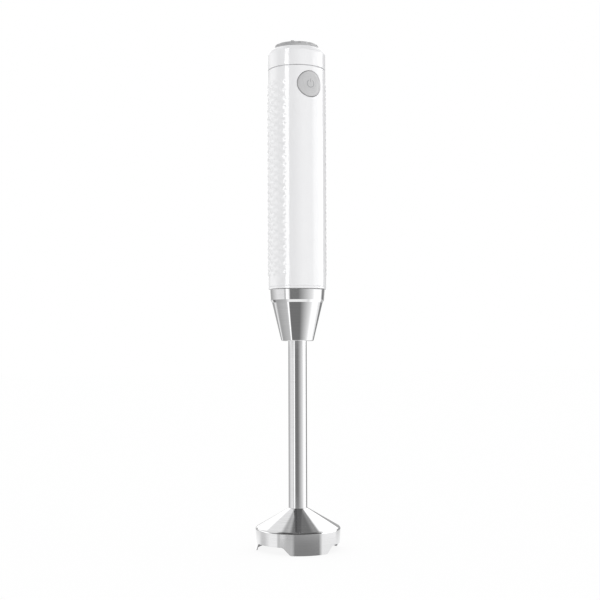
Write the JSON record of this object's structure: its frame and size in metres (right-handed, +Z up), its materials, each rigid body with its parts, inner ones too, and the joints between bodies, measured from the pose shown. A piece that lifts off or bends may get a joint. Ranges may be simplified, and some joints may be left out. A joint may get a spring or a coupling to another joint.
{
  "type": "immersion blender",
  "caption": "Hand-held immersion blender: slim white studded handle with a round power button and a speed dial, on a twist-off steel foot with an arched bell over its blade.",
  "frame": {"origin": "on the axis of the drive shaft, in the plane on which the bell stands", "axes": "+Z up along the shaft to the dial; -Y is the front, where the power button is"},
  "size_m": [0.064, 0.064, 0.384],
  "materials": {
    "white_plastic": "glossy moulded white plastic, diamond-studded where it is gripped",
    "silver": "satin silver, finely spun in circles",
    "steel": "stainless steel, finely brushed round the axis",
    "blade_steel": "ground stainless steel",
    "shaft_steel": "ground steel",
    "bronze": "sintered bronze",
    "black_rubber": "matt black rubber",
    "black_plastic": "matt black engineering plastic",
    "grey_plastic": "matt grey engineering plastic",
    "zinc_steel": "zinc-plated drawn steel",
    "ferrite": "sintered ferrite",
    "iron": "stacked iron laminations",
    "copper": "enamelled copper",
    "carbon": "pressed carbon",
    "board": "green circuit board"
  },
  "bodies": {
    "foot": {"bell_guard": "steel", "bell_hub": "black_plastic", "shaft_seal": "black_rubber", "lower_bush": "bronze", "shaft_tube": "steel", "foot_cone": "steel", "foot_collar": "steel", "coupling_plug": "grey_plastic", "upper_bush": "bronze"},
    "drive": {"drive_shaft": "shaft_steel", "blade": "blade_steel", "blade_spacer": "shaft_steel", "blade_nut": "shaft_steel", "drive_dog": "black_plastic"},
    "gasket": {"lock_gasket": "black_rubber"},
    "handle": {"handle_shell": "white_plastic", "top_cap": "white_plastic", "cord_inlet": "black_rubber", "lock_socket": "white_plastic", "motor_mount": "black_plastic", "motor_screws": "zinc_steel", "motor_can": "zinc_steel", "front_bearing": "bronze", "rear_bearing": "bronze", "field_magnets": "ferrite", "motor_end_cap": "black_plastic", "carbon_brushes": "carbon", "lower_damper": "black_rubber", "upper_damper": "black_rubber", "board_carrier": "grey_plastic", "carrier_screws": "zinc_steel", "control_board": "board", "board_parts": "black_plastic", "motor_leads": "black_rubber", "micro_switch": "black_plastic", "speed_pot": "zinc_steel"},
    "rotor": {"motor_shaft": "shaft_steel", "armature_core": "iron", "armature_winding": "copper", "commutator": "copper", "motor_dog": "black_plastic"},
    "button": {"power_button": "silver", "switch_plunger": "grey_plastic"},
    "dial": {"speed_dial": "silver", "pot_spindle": "shaft_steel"}
  },
  "joints": [
    {"name": "twist_lock", "type": "hinge", "parent": "foot", "child": "gasket", "pos_m": [0, 0, 0.197], "axis": [0, 0, 1], "range_deg": [0, 30]},
    {"name": "handle_lift", "type": "slide", "parent": "gasket", "child": "handle", "axis": [0, 0, 1], "range_m": [0, 0.04]},
    {"name": "motor_spin", "type": "hinge", "parent": "handle", "child": "rotor", "pos_m": [0, 0, 0.25], "axis": [0, 0, 1], "continuous": true},
    {"name": "blade_spin", "type": "hinge", "parent": "foot", "child": "drive", "pos_m": [0, 0, 0.1], "axis": [0, 0, 1], "continuous": true},
    {"name": "button_press", "type": "slide", "parent": "handle", "child": "button", "axis": [0, 1, 0], "range_m": [0, 0.0015], "stiffness_N_per_m": 1500, "springref_m": -0.0005},
    {"name": "dial_turn", "type": "hinge", "parent": "handle", "child": "dial", "pos_m": [0, 0, 0.38], "axis": [0, 0, 1], "range_deg": [-135, 135]}
  ],
  "couplings": [
    {"joint": "blade_spin", "follows": "motor_spin", "ratio": 1}
  ]
}
